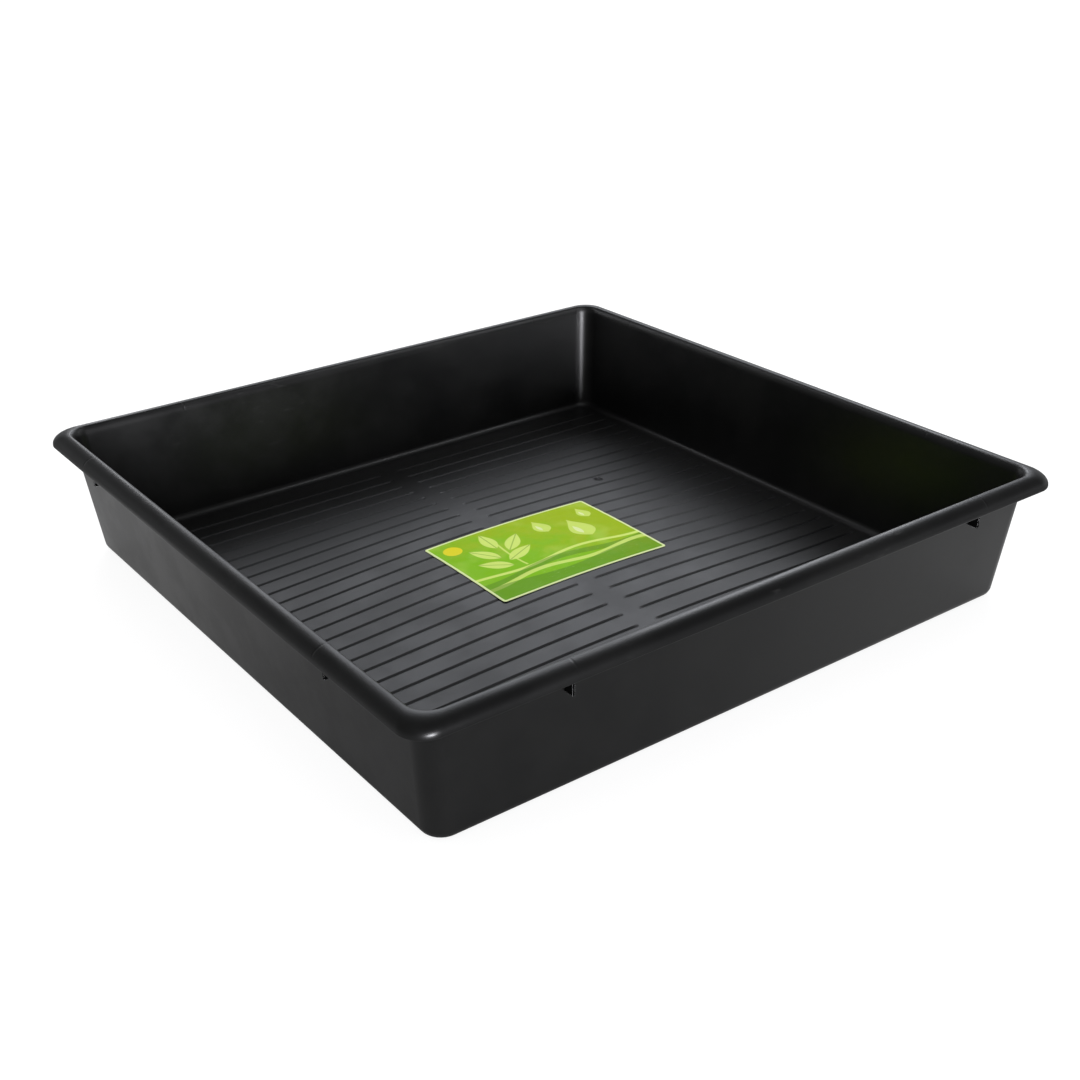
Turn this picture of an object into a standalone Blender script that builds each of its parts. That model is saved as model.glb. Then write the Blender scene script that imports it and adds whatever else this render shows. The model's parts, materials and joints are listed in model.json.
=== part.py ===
# Watering tray: a deep square tray in black plastic with a printed label on its domed floor.
# Metres, +Z up. The origin is under the middle of the tray, at the height that it stands on.
# The floor's grooves run along X.
import math

import bmesh
import bpy

# Tray, outside
TRAY_LENGTH = 0.700
TRAY_WIDTH = 0.700
TRAY_HEIGHT = 0.128
WALL_THICKNESS = 0.0025
WALL_DRAFT = math.radians(6.2)
CORNER_RADIUS = 0.020
FOOT_FILLET = 0.0105
FLOOR_FILLET = 0.008

# Rim: from the crest, a quarter of an ellipse inwards to the wall and another outwards to a short
# upright lip
RIM_INNER_REACH = 0.0055
RIM_INNER_DROP = 0.0125
RIM_REACH = 0.014
RIM_DROP = 0.0115
RIM_CORNER_RADIUS = 0.024
LIP_DEPTH = 0.0015

# Floor: a flat foot ring all round, and a low dome inside it
FLOOR_THICKNESS = 0.0025
FLOOR_RAISE = 0.002
FOOT_WIDTH = 0.010
FOOT_STEP = 0.0015
FOOT_INNER_CORNER = 0.006
DOME_HEIGHT = 0.0125
FLOOR_MARGIN = 0.004

# Grooves in the floor
GROOVE_PITCH = 0.0227
GROOVE_WIDTH = 0.0042
GROOVE_DEPTH = 0.0009
GROOVE_END_SLOPE = 0.0015
GROOVE_MIDDLE_GAP = 0.020
GROOVE_GAP_CENTRE_X = 0.0085
GROOVE_END_MARGIN = 0.002
GROOVE_SIDE_MARGIN = 0.012

# Stacking ribs under the rim, each placed from the tray's near or far outer side
RIB_FROM_NEAR_SIDE = 0.143
RIB_FROM_FAR_SIDE = 0.101
RIB_THICKNESS = 0.002
RIB_REACH = 0.010
RIB_BOTTOM = 0.098

# Label
LABEL_LENGTH = 0.1995
LABEL_WIDTH = 0.1405
LABEL_CENTRE_X = 0.022
LABEL_CENTRE_Y = 0.004
LABEL_CORNER = 0.003
LABEL_THICKNESS = 0.0004
CLEARANCE = 0.0003

# Fineness of the faceted surfaces
CORNER_STEPS = 6
ROUND_STEPS = 4
SIDE_STEPS = 14
DOME_STEPS = 6
LABEL_STEPS_X = 14
LABEL_STEPS_Y = 10
LABEL_CORNER_STEPS = 3

QUARTER_TURN = math.pi / 2

# Heights and insets that follow from the sizes above. An inset is measured inwards from the lip's
# outer face, and is the same on all four sides.
crest_inset = RIM_REACH
shell_reach = RIM_INNER_REACH - WALL_THICKNESS
shell_drop = RIM_INNER_DROP - WALL_THICKNESS
floor_top = FLOOR_RAISE + FLOOR_THICKNESS


def wall_touch(reach, drop):
    """Angle at which the wall's slope touches the rim's inner quarter of an ellipse."""
    return math.atan(math.tan(WALL_DRAFT) * drop / reach)


wall_top_inset = crest_inset + shell_reach * math.cos(wall_touch(shell_reach, shell_drop))
wall_top_z = TRAY_HEIGHT - RIM_INNER_DROP + shell_drop * math.sin(wall_touch(shell_reach, shell_drop))


def wall_inset(z):
    """Inset of the wall's outer face at a height."""
    return wall_top_inset + (wall_top_z - z) * math.tan(WALL_DRAFT)


def clear_scene():
    for item in list(bpy.data.objects):
        bpy.data.objects.remove(item, do_unlink=True)


def make_material(name, color, roughness):
    material = bpy.data.materials.new(name)
    material.use_nodes = True
    shader = material.node_tree.nodes["Principled BSDF"]
    shader.inputs["Base Color"].default_value = (*color, 1.0)
    shader.inputs["Roughness"].default_value = roughness
    shader.inputs["Metallic"].default_value = 0.0
    return material


def add_object(name, bm, material=None):
    bmesh.ops.recalc_face_normals(bm, faces=bm.faces)
    mesh = bpy.data.meshes.new(name)
    bm.to_mesh(mesh)
    bm.free()
    item = bpy.data.objects.new(name, mesh)
    bpy.context.collection.objects.link(item)
    if material:
        mesh.materials.append(material)
    return item


def arc(centre, radius_x, radius_z, start, end, steps):
    """Points of an elliptical arc in the section plane, as inset and height."""
    points = []
    for i in range(steps + 1):
        angle = start + (end - start) * i / steps
        points.append((centre[0] - radius_x * math.cos(angle), centre[1] + radius_z * math.sin(angle)))
    return points


def rim_arch(offset):
    """Section of the rim from the wall over the crest to the lip, sunk into its shell by an offset."""
    reach = RIM_INNER_REACH - offset
    drop = RIM_INNER_DROP - offset
    inner = arc((crest_inset, TRAY_HEIGHT - RIM_INNER_DROP), reach, drop,
                math.pi - wall_touch(reach, drop), QUARTER_TURN, ROUND_STEPS)
    outer = arc((crest_inset, TRAY_HEIGHT - RIM_DROP), RIM_REACH - offset, RIM_DROP - offset,
                QUARTER_TURN, 0.0, ROUND_STEPS)
    return inner + outer[1:]


def fillet(inset, height, radius):
    """Round between a level surface and the sloping wall, from the level to the wall."""
    return arc((inset, height + radius), radius, radius, -QUARTER_TURN, -WALL_DRAFT, ROUND_STEPS)


def tangent_inset(face_inset, level, radius):
    """Inset of the fillet's centre, for a wall face whose inset at a height is given."""
    touch_z = level + radius - radius * math.sin(WALL_DRAFT)
    return face_inset(touch_z) + radius * math.cos(WALL_DRAFT)


def inner_wall_inset(z):
    return wall_inset(z) + WALL_THICKNESS / math.cos(WALL_DRAFT)


foot_inset = tangent_inset(wall_inset, 0.0, FOOT_FILLET)
floor_edge_inset = tangent_inset(inner_wall_inset, floor_top, FLOOR_FILLET)
lip_bottom = TRAY_HEIGHT - RIM_DROP - LIP_DEPTH
field_x = TRAY_LENGTH / 2 - floor_edge_inset - FLOOR_MARGIN
field_y = TRAY_WIDTH / 2 - floor_edge_inset - FLOOR_MARGIN


def dome(x, y):
    """Rise of the domed floor above its flat edge."""
    share_x = min(1.0, abs(x) / field_x)
    share_y = min(1.0, abs(y) / field_y)
    return DOME_HEIGHT * (1 - share_x ** 2) ** 2 * (1 - share_y ** 2) ** 2


def rounded_ring(bm, inset, z, corner, side_steps=1):
    """Closed loop of vertices round a rectangle with round corners, anticlockwise from above."""
    half_x = TRAY_LENGTH / 2 - inset
    half_y = TRAY_WIDTH / 2 - inset
    points = []
    for turn, (side_x, side_y) in enumerate(((1, -1), (1, 1), (-1, 1), (-1, -1))):
        centre_x = side_x * (half_x - corner)
        centre_y = side_y * (half_y - corner)
        for i in range(CORNER_STEPS + 1):
            angle = QUARTER_TURN * (turn - 1 + i / CORNER_STEPS)
            points.append((centre_x + corner * math.cos(angle), centre_y + corner * math.sin(angle)))
    loop = []
    for i, point in enumerate(points):
        loop.append(bm.verts.new((*point, z)))
        if i % (CORNER_STEPS + 1) == CORNER_STEPS:
            following = points[(i + 1) % len(points)]
            for k in range(1, side_steps):
                share = k / side_steps
                x = point[0] + (following[0] - point[0]) * share
                y = point[1] + (following[1] - point[1]) * share
                loop.append(bm.verts.new((x, y, z)))
    return loop


def rim_corner(inset):
    """Corner radius of the rim: the wall's own where it meets the wall, growing steadily to the lip's."""
    outside = wall_top_inset - inset
    if outside < 0:
        return CORNER_RADIUS + outside
    return CORNER_RADIUS + outside * (RIM_CORNER_RADIUS - CORNER_RADIUS) / wall_top_inset


def bridge_rings(bm, first, second):
    """Band of quads between two loops of equal count."""
    for i in range(len(first)):
        k = (i + 1) % len(first)
        bm.faces.new((first[i], first[k], second[k], second[i]))


def turn_share(vertex):
    """Place of a vertex on its loop, as a number that grows steadily from corner to corner."""
    x = vertex.co.x / (TRAY_LENGTH / 2)
    y = vertex.co.y / (TRAY_WIDTH / 2)
    return math.atan2(y, x) % (2 * math.pi)


def zip_loops(bm, first, second):
    """Band of triangles between two loops of unequal counts, each step taking the shorter diagonal."""
    first = sorted(first, key=turn_share)
    second = sorted(second, key=turn_share)
    i = 0
    k = 0
    while i < len(first) or k < len(second):
        here = first[i % len(first)]
        there = second[k % len(second)]
        next_first = first[(i + 1) % len(first)]
        next_second = second[(k + 1) % len(second)]
        step_first = (next_first.co - there.co).length
        step_second = (next_second.co - here.co).length
        if k >= len(second) or (i < len(first) and step_first <= step_second):
            bm.faces.new((here, next_first, there))
            i += 1
        else:
            bm.faces.new((here, next_second, there))
            k += 1


def grid(bm, xs, ys, height):
    """Sheet of quads over two lists of lines, and the vertices round its edge."""
    rows = [[bm.verts.new((x, y, height(x, y))) for x in xs] for y in ys]
    for row, following in zip(rows, rows[1:]):
        for i in range(len(xs) - 1):
            bm.faces.new((row[i], row[i + 1], following[i + 1], following[i]))
    middle_rows = rows[1:-1]
    edge = rows[0] + rows[-1] + [row[0] for row in middle_rows] + [row[-1] for row in middle_rows]
    return edge


def groove_lines():
    """Centre lines of the grooves, as distances to one side of the middle."""
    count = int((field_y - GROOVE_SIDE_MARGIN) / GROOVE_PITCH + 0.5)
    return [(i + 0.5) * GROOVE_PITCH for i in range(count)]


def both_sides(values):
    return sorted([-value for value in values] + list(values))


def groove_halves():
    """Where the grooves' two halves, to both sides of the gap, start and end along X."""
    end = field_x - GROOVE_END_MARGIN
    half_gap = GROOVE_MIDDLE_GAP / 2
    return (-end, GROOVE_GAP_CENTRE_X - half_gap), (GROOVE_GAP_CENTRE_X + half_gap, end)


def floor_lines_x():
    """Lines across the grooves: where each half of a groove starts and ends, and the dome's steps."""
    lines = [-field_x]
    for start, end in groove_halves():
        inner = start + GROOVE_END_SLOPE
        outer = end - GROOVE_END_SLOPE
        steps = [inner + (outer - inner) * i / DOME_STEPS for i in range(DOME_STEPS + 1)]
        lines += [start] + steps + [end]
    return lines + [field_x]


def floor_lines_y():
    """Lines along the grooves: both edges and the bottom of each."""
    lines = [field_y]
    for centre in groove_lines():
        lines += [centre - GROOVE_WIDTH / 2, centre, centre + GROOVE_WIDTH / 2]
    return both_sides(lines)


def floor_surface():
    """Height of the floor's upper surface at a grid point."""
    groove_centres = groove_lines()
    margin = GROOVE_END_SLOPE / 2

    def height(x, y):
        z = floor_top + dome(x, y)
        on_groove = any(math.isclose(abs(y), centre, abs_tol=1e-6) for centre in groove_centres)
        if on_groove and any(start + margin < x < end - margin for start, end in groove_halves()):
            z -= GROOVE_DEPTH
        return z

    return height


def underside_lines(half):
    return [half * i / DOME_STEPS for i in range(-DOME_STEPS, DOME_STEPS + 1)]


def make_tray_shell(material):
    bm = bmesh.new()

    def rim_ring(point):
        return rounded_ring(bm, *point, rim_corner(point[0]))

    # Below the rim, each ring's corner keeps an even distance to the wall's own corner.
    def base_ring(point, touch_inset, steps=1):
        return rounded_ring(bm, *point, CORNER_RADIUS + touch_inset - point[0], steps)

    # Upper side, from the floor's edge up the inner wall and over the rim to the lip
    floor_round = fillet(floor_edge_inset, floor_top, FLOOR_FILLET)
    floor_touch = wall_inset(floor_round[-1][1])
    rings = [base_ring(floor_round[0], floor_touch, SIDE_STEPS)]
    rings += [base_ring(point, floor_touch) for point in floor_round[1:]]
    rings += [rim_ring(point) for point in rim_arch(0.0)]
    rings.append(rim_ring((0.0, lip_bottom)))

    # Under side, from the lip back under the rim, down the outer wall and round to the foot
    rings.append(rim_ring((WALL_THICKNESS, lip_bottom)))
    rings += [rim_ring(point) for point in reversed(rim_arch(WALL_THICKNESS))]
    foot_round = fillet(foot_inset, 0.0, FOOT_FILLET)
    foot_touch = wall_inset(foot_round[-1][1])
    rings += [base_ring(point, foot_touch) for point in reversed(foot_round)]
    rings.append(rounded_ring(bm, foot_inset + FOOT_WIDTH, 0.0, FOOT_INNER_CORNER))
    step_inset = foot_inset + FOOT_WIDTH + FOOT_STEP
    rings.append(rounded_ring(bm, step_inset, FLOOR_RAISE, FOOT_INNER_CORNER))

    zip_loops(bm, rings[0], rings[1])
    for first, second in zip(rings[1:], rings[2:]):
        bridge_rings(bm, first, second)

    # Floor, above and below
    upper_edge = grid(bm, floor_lines_x(), floor_lines_y(), floor_surface())
    zip_loops(bm, upper_edge, rings[0])
    under_x = TRAY_LENGTH / 2 - step_inset - FLOOR_MARGIN
    under_y = TRAY_WIDTH / 2 - step_inset - FLOOR_MARGIN

    def underside(x, y):
        inside = abs(x) < under_x and abs(y) < under_y
        return FLOOR_RAISE + (dome(x, y) if inside else 0.0)

    under_edge = grid(bm, underside_lines(under_x), underside_lines(under_y), underside)
    zip_loops(bm, under_edge, rings[-1])
    return add_object("tray", bm, material)


def rib_outline():
    """Section of a stacking rib, its inner and upper edges sunk half way into the wall and the rim."""
    sunk = WALL_THICKNESS / 2
    reach_inset = wall_inset(RIB_BOTTOM) - RIB_REACH
    arch = [point for point in rim_arch(sunk) if point[0] > reach_inset]
    inner = wall_inset(RIB_BOTTOM) + sunk / math.cos(WALL_DRAFT)
    share = (crest_inset - reach_inset) / (RIM_REACH - sunk)
    outer_z = TRAY_HEIGHT - RIM_DROP + (RIM_DROP - sunk) * math.sqrt(1 - share ** 2)
    return [(inner, RIB_BOTTOM)] + arch + [(reach_inset, outer_z), (reach_inset, RIB_BOTTOM)]


def add_rib(bm, along, side, on_long_wall):
    """One rib: its section thickened along the wall that it stands on."""
    half_across = (TRAY_WIDTH if on_long_wall else TRAY_LENGTH) / 2
    faces = []
    for shift in (-RIB_THICKNESS / 2, RIB_THICKNESS / 2):
        loop = []
        for inset, z in rib_outline():
            across = side * (half_across - inset)
            place = (along + shift, across, z) if on_long_wall else (across, along + shift, z)
            loop.append(bm.verts.new(place))
        faces.append(bm.faces.new(loop))
    first, second = (list(face.verts) for face in faces)
    bridge_rings(bm, first, second)


def make_ribs():
    bm = bmesh.new()
    for side in (-1, 1):
        for half_along, on_long_wall in ((TRAY_LENGTH / 2, True), (TRAY_WIDTH / 2, False)):
            add_rib(bm, RIB_FROM_NEAR_SIDE - half_along, side, on_long_wall)
            add_rib(bm, half_along - RIB_FROM_FAR_SIDE, side, on_long_wall)
    ribs = add_object("stacking_ribs", bm)
    ribs.hide_render = True
    ribs.display_type = "WIRE"
    return ribs


def make_tray():
    material = make_material("black plastic", (0.005, 0.005, 0.005), 0.30)
    tray = make_tray_shell(material)
    join = tray.modifiers.new("join ribs", "BOOLEAN")
    join.operation = "UNION"
    join.solver = "EXACT"
    join.object = make_ribs()
    tray.data.shade_smooth()
    tray.data.set_sharp_from_angle(angle=math.radians(30))
    return tray


def label_row_places():
    """Each row of the label: its distance from the middle and its half length there."""
    half_y = LABEL_WIDTH / 2
    half_x = LABEL_LENGTH / 2
    corner = []
    for i in range(LABEL_CORNER_STEPS + 1):
        angle = QUARTER_TURN * i / LABEL_CORNER_STEPS
        shorter = LABEL_CORNER * (1 - math.sin(angle))
        corner.append((half_y - LABEL_CORNER * (1 - math.cos(angle)), half_x - shorter))
    plain = half_y - LABEL_CORNER
    middle = [(plain * (1 - 2 * i / LABEL_STEPS_Y), half_x) for i in range(1, LABEL_STEPS_Y)]
    mirrored = [(-y, length) for y, length in reversed(corner)]
    return corner + middle + mirrored


def make_label():
    """Thin sheet that follows the dome, a clearance above the floor between the grooves."""
    bm = bmesh.new()
    rows = []
    for y, half_length in label_row_places():
        row = []
        for i in range(LABEL_STEPS_X + 1):
            x = LABEL_CENTRE_X + half_length * (2 * i / LABEL_STEPS_X - 1)
            z = floor_top + dome(x, LABEL_CENTRE_Y + y) + CLEARANCE
            row.append(bm.verts.new((x, LABEL_CENTRE_Y + y, z)))
        rows.append(row)
    for row, following in zip(rows, rows[1:]):
        for i in range(LABEL_STEPS_X):
            bm.faces.new((row[i + 1], row[i], following[i], following[i + 1]))
    label = add_object("label", bm, make_material("printed label", (0.30, 0.52, 0.12), 0.45))
    if label.data.polygons[0].normal.z < 0:
        label.data.flip_normals()
    thicken = label.modifiers.new("thickness", "SOLIDIFY")
    thicken.thickness = LABEL_THICKNESS
    thicken.offset = 1.0
    return label


clear_scene()
make_tray()
make_label()
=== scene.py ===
# Watering tray, dressed for its portrait: a black moulded tray with a printed label on its floor.
# Metres, Z up. The tray stands on z = 0 with its middle over the origin; its floor grooves run along X.
import json
import math
from functools import partial

import bmesh
import bpy
from mathutils import Matrix, Vector

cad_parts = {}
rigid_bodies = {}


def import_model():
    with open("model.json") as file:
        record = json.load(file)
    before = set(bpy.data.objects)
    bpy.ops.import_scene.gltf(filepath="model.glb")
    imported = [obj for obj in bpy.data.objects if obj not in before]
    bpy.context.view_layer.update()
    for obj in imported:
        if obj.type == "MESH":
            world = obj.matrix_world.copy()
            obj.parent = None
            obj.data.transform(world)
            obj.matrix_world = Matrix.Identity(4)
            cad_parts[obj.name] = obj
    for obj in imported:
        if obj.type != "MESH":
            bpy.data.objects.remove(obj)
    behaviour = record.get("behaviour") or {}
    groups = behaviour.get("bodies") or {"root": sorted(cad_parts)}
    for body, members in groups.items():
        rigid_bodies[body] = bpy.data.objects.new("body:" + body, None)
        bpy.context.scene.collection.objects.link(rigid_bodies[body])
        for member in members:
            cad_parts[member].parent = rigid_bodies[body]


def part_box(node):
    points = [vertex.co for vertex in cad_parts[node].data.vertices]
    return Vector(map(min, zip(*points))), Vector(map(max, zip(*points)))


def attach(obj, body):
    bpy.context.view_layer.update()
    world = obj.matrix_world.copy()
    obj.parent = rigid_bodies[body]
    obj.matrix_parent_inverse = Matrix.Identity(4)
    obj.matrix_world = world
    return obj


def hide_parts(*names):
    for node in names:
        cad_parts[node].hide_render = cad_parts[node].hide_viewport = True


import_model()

quarterTurn = math.pi / 2
mergeDistance = 1e-6
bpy.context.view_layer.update()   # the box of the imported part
trayLow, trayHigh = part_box("tray")
labelLow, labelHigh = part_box("label")


def newObject(name, data):
    made = bpy.data.objects.new(name, data)
    bpy.context.collection.objects.link(made)
    return made


# Node helpers: one call adds a node, sets it up and plugs in sockets or plain values

def plug(tree, node, inputs):
    for key, value in inputs.items():
        if isinstance(value, bpy.types.NodeSocket):
            tree.links.new(value, node.inputs[key])
        else:
            node.inputs[key].default_value = value


def addNode(tree, kind, inputs=None, **settings):
    node = tree.nodes.new(kind)
    for name, value in settings.items():
        setattr(node, name, value)
    plug(tree, node, inputs or {})
    return node


def placeGroup(tree, group, inputs):
    return addNode(tree, "ShaderNodeGroup", inputs, node_tree=group).outputs


def calc(tree, operation, *values, clamp=False):
    node = addNode(tree, "ShaderNodeMath", dict(enumerate(values)), operation=operation)
    node.use_clamp = clamp
    return node.outputs[0]


def vectorCalc(tree, operation, *values):
    return addNode(tree, "ShaderNodeVectorMath", dict(enumerate(values)), operation=operation).outputs


def smooth(tree, value, start, end, low=0.0, high=1.0):
    inputs = {"Value": value, "From Min": start, "From Max": end, "To Min": low, "To Max": high}
    node = addNode(tree, "ShaderNodeMapRange", inputs, interpolation_type="SMOOTHSTEP")
    return node.outputs["Result"]


def splitXYZ(tree, vector):
    return addNode(tree, "ShaderNodeSeparateXYZ", {0: vector}).outputs


def joinXYZ(tree, **parts):
    return addNode(tree, "ShaderNodeCombineXYZ", parts).outputs[0]


def sockets(kind, *labels):
    return [(label, "NodeSocket" + kind) for label in labels]


# A node group with its named inputs, whose values every user of the group sets
def newTree(name, kind, inputs, outputs):
    tree = bpy.data.node_groups.new(name, kind)
    for direction, plugs in (("INPUT", inputs), ("OUTPUT", outputs)):
        for label, socketKind in plugs:
            tree.interface.new_socket(label, in_out=direction, socket_type=socketKind)
    source = tree.nodes.new("NodeGroupInput")
    result = tree.nodes.new("NodeGroupOutput")
    return tree, source.outputs, result


def newGeometryTree(name, inputs):
    shape = sockets("Geometry", "Geometry")
    return newTree(name, "GeometryNodeTree", shape + inputs + sockets("Material", "Material"), shape)


def newShaderGroup(name, inputs, *outputs):
    return newTree(name, "ShaderNodeTree", sockets("Vector", "Vector") + inputs, sockets("Float", *outputs))


# How often one whole number goes into another, and the rest
def divided(tree, number, size):
    times = calc(tree, "FLOOR", calc(tree, "DIVIDE", calc(tree, "ADD", number, 0.5), size))
    return times, calc(tree, "SUBTRACT", number, calc(tree, "MULTIPLY", times, size))


# A grid of points, with the column and the row of each
def newSheet(tree, columns, rows):
    grid = addNode(tree, "GeometryNodeMeshGrid", {"Vertices X": columns, "Vertices Y": rows})
    index = addNode(tree, "GeometryNodeInputIndex").outputs[0]
    return grid.outputs["Mesh"], *divided(tree, index, rows)


def bendSheet(tree, sheet, **place):
    inputs = {"Geometry": sheet, "Position": joinXYZ(tree, **place)}
    return addNode(tree, "GeometryNodeSetPosition", inputs).outputs[0]


def merged(tree, shape):
    inputs = {"Geometry": shape, "Distance": mergeDistance}
    return addNode(tree, "GeometryNodeMergeByDistance", inputs).outputs[0]


def endTree(tree, shape, source, result):
    real = addNode(tree, "GeometryNodeRealizeInstances", {"Geometry": shape})
    painted = addNode(tree, "GeometryNodeSetMaterial", {
        "Geometry": real.outputs[0], "Material": source["Material"]})
    plug(tree, result, {"Geometry": painted.outputs[0]})


# Runs a geometry tree on a start mesh and hands back the mesh that it makes
def runTree(start, tree, values):
    carrier = newObject(tree.name + "Carrier", start)
    modifier = carrier.modifiers.new(tree.name, "NODES")
    modifier.node_group = tree
    for item in tree.interface.items_tree:
        if item.item_type == "SOCKET" and item.in_out == "INPUT" and item.name in values:
            modifier[item.identifier] = values[item.name]
    depsgraph = bpy.context.evaluated_depsgraph_get()
    made = bpy.data.meshes.new_from_object(carrier.evaluated_get(depsgraph))
    carrier.modifiers.remove(modifier)
    bpy.data.objects.remove(carrier)
    return made


def newPiece(name, mesh, sharpAngle=35):
    piece = newObject(name, mesh)
    mesh.shade_smooth()
    mesh.set_sharp_from_angle(angle=math.radians(sharpAngle))
    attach(piece, "root")
    return piece


# Camera, at the photograph's angle

portrait = {
    "azimuth": -35.953,
    "elevation": 26.094,
    "roll": -1.112,
    "distance": 1.4930,
    "slideRight": 0.0101,
    "slideUp": 0.0280,
    "lens": 49.70,
    "sensor": 36.0,
}


def placeCamera():
    around = math.radians(portrait["azimuth"])
    above = math.radians(portrait["elevation"])
    roll = math.radians(portrait["roll"])
    back = Vector((math.sin(around) * math.cos(above), -math.cos(around) * math.cos(above), math.sin(above)))
    right = Vector((0, 0, 1)).cross(back).normalized()
    up = back.cross(right)
    spot = back * portrait["distance"] + right * portrait["slideRight"] + up * portrait["slideUp"]
    turnedRight = right * math.cos(roll) + up * math.sin(roll)
    turnedUp = up * math.cos(roll) - right * math.sin(roll)
    pose = Matrix((turnedRight, turnedUp, back)).transposed().to_4x4()
    pose.translation = spot
    camera = newObject("camera", bpy.data.cameras.new("camera"))
    camera.data.lens = portrait["lens"]
    camera.data.sensor_width = portrait["sensor"]
    camera.matrix_world = pose
    bpy.context.scene.camera = camera


# Tray: its section, swept round a square with round corners. An inset is measured inwards from the
# lip's outer face.

trayForm = {
    "wall": 0.0025,
    "draft": math.radians(6.2),
    "corner": 0.020,  # of the outer wall
    "leastCorner": 0.006,
    "footFillet": 0.0105,
    "floorFillet": 0.008,
    "rimInnerReach": 0.0055,  # from the crest in to the inner wall
    "rimInnerDrop": 0.0125,
    "rimReach": 0.014,  # from the crest out to the lip
    "rimDrop": 0.0115,
    "rimCorner": 0.024,  # of the lip
    "lip": 0.0015,
    "lipRound": 0.0008,
    "floor": 0.0025,
    "floorRaise": 0.002,
    "footWidth": 0.010,
    "footStep": 0.0015,
    "cornerSteps": 16,
    "sideSteps": 14,
    "roundSteps": 10,
    "sharpAngle": 20,
}

floorForm = {
    "dome": 0.0125,
    "margin": 0.004,  # flat strip between the domed sheet and the fillet
    "pitch": 0.0227,
    "grooves": 26,
    "grooveWidth": 0.0044,
    "grooveDepth": 0.0012,
    "middleGap": 0.020,
    "gapCentre": 0.0085,
    "endMargin": 0.002,
    "linesPerGroove": 16,
    "stepsPerHalf": 34,
    "crowding": 2.367,  # crowds the lines towards each groove, with one on either edge of it
    "gapLine": 0.001,  # how far inside the middle gap the first line across lies
    "underLines": 2,
    "underSteps": 12,
    "underPitchShare": 0.98,
}

wall = trayForm["wall"]
draft = trayForm["draft"]
height = trayHigh.z - trayLow.z
halfLength = (trayHigh.x - trayLow.x) / 2
halfWidth = (trayHigh.y - trayLow.y) / 2
lean = math.tan(draft)
shellReach = trayForm["rimInnerReach"] - wall
shellDrop = trayForm["rimInnerDrop"] - wall
shellTouch = math.atan(lean * shellDrop / shellReach)  # where the wall's slope meets the rim's round
wallTopInset = trayForm["rimReach"] + shellReach * math.cos(shellTouch)
wallTop = height - trayForm["rimInnerDrop"] + shellDrop * math.sin(shellTouch)
floorTop = trayForm["floorRaise"] + trayForm["floor"]
footTouch = trayForm["footFillet"] * (1 - math.sin(draft))
floorTouch = floorTop + trayForm["floorFillet"] * (1 - math.sin(draft))


def wallInset(z):
    return wallTopInset + (wallTop - z) * lean


footInset = wallInset(footTouch) + trayForm["footFillet"] * math.cos(draft)
floorInset = (wallInset(floorTouch) + wall / math.cos(draft)
              + trayForm["floorFillet"] * math.cos(draft))
sheetX = halfLength - floorInset - floorForm["margin"]
sheetY = halfWidth - floorInset - floorForm["margin"]


def arcPoints(inset, z, across, upwards, start, end):
    steps = trayForm["roundSteps"]
    angles = [start + (end - start) * i / steps for i in range(steps + 1)]
    return [(inset - across * math.cos(a), z + upwards * math.sin(a)) for a in angles]


# Section of the rim from the wall over the crest to the lip, sunk into the shell
def rimPoints(sunk):
    reach = trayForm["rimInnerReach"] - sunk
    drop = trayForm["rimInnerDrop"] - sunk
    touch = math.atan(lean * drop / reach)
    up = arcPoints(trayForm["rimReach"], height - trayForm["rimInnerDrop"], reach, drop, math.pi - touch,
                   quarterTurn)
    down = arcPoints(trayForm["rimReach"], height - trayForm["rimDrop"], trayForm["rimReach"] - sunk,
                     trayForm["rimDrop"] - sunk, quarterTurn, 0.0)
    return up + down[1:]


# Rounded lower edge of the lip, from its outer face to its inner one
def lipPoints():
    edge = height - trayForm["rimDrop"] - trayForm["lip"]
    soft = trayForm["lipRound"]
    outer = arcPoints(soft, edge + soft, soft, soft, 0.0, -quarterTurn)
    inner = arcPoints(wall - soft, edge + soft, soft, soft, -quarterTurn, -math.pi)
    half = trayForm["roundSteps"] // 2
    return outer[::half] + inner[::half]


def filletPoints(inset, z, radius):
    return arcPoints(inset, z + radius, radius, radius, -quarterTurn, -draft)


def traySection():
    step = footInset + trayForm["footWidth"] + trayForm["footStep"]
    points = filletPoints(floorInset, floorTop, trayForm["floorFillet"])
    points += rimPoints(0.0) + lipPoints() + rimPoints(wall)[::-1]
    points += filletPoints(footInset, 0.0, trayForm["footFillet"])[::-1]
    points += [(step - trayForm["footStep"], 0.0), (step, trayForm["floorRaise"])]
    return points


def chainMesh(name, points):
    mesh = bpy.data.meshes.new(name)
    mesh.from_pydata([(x, y, 0.0) for x, y in points], [(i, i + 1) for i in range(len(points) - 1)], [])
    return mesh


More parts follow.
